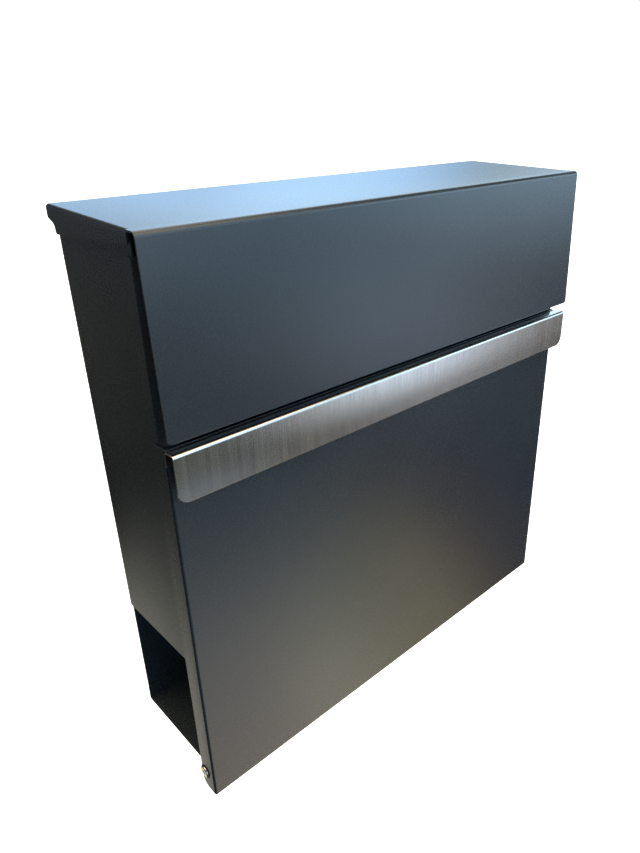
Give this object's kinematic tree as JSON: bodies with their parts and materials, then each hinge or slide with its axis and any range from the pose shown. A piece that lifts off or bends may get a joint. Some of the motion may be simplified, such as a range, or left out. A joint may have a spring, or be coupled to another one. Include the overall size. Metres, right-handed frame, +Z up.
{
  "type": "wall mounted mailbox",
  "caption": "Wall mounted sheet metal letter box with a sloping lift-up lid, a drop-down front door with a grip strip, and an open-ended newspaper compartment below.",
  "frame": {"origin": "centre of the four wall screw holes, on the plane of the wall that the spacers stand on", "axes": "+Y towards the wall, -Y is the front, +Z up, X across the width"},
  "size_m": [0.37, 0.108, 0.3704],
  "materials": {
    "powder_coat": "satin fine-textured anthracite powder coat",
    "brushed_stainless": "brushed, the strokes run up and down",
    "nickel_steel": "bright nickel plate",
    "lock_chrome": "satin chrome plate",
    "zinc_steel": "dull zinc plate",
    "aluminium": "plain",
    "rubber": "matt",
    "black_plastic": "matt"
  },
  "bodies": {
    "box": {"casing": "powder_coat", "mail_floor": "powder_coat", "newspaper_tray": "powder_coat", "fascia": "powder_coat", "wall_spacers": "black_plastic", "lid_hinge_rod": "zinc_steel", "rod_washers": "zinc_steel", "lock_housing": "lock_chrome", "lock_nut": "zinc_steel", "lid_bumpers": "rubber", "door_bumpers": "rubber", "door_hinge_screws": "nickel_steel", "door_hinge_washers": "black_plastic", "door_hinge_nuts": "zinc_steel"},
    "lid": {"lid_sheet": "powder_coat", "lid_hinge_ears": "zinc_steel"},
    "door": {"door_panel": "powder_coat", "door_handle": "brushed_stainless", "handle_rivets": "aluminium", "door_catch": "zinc_steel"},
    "lock": {"lock_plug": "lock_chrome", "lock_cam": "zinc_steel", "lock_cam_washer": "zinc_steel", "lock_cam_screw": "zinc_steel"}
  },
  "joints": [
    {"name": "lid_hinge", "type": "hinge", "parent": "box", "child": "lid", "pos_m": [0, -0.017, 0.12], "axis": [-1, 0, 0], "range_deg": [0, 70]},
    {"name": "door_hinge", "type": "hinge", "parent": "box", "child": "door", "pos_m": [0, -0.0888, -0.2263], "axis": [1, 0, 0], "range_deg": [0, 135]},
    {"name": "lock_turn", "type": "hinge", "parent": "box", "child": "lock", "pos_m": [0, -0.099, 0.034], "axis": [0, 1, 0], "range_deg": [0, 90]}
  ]
}
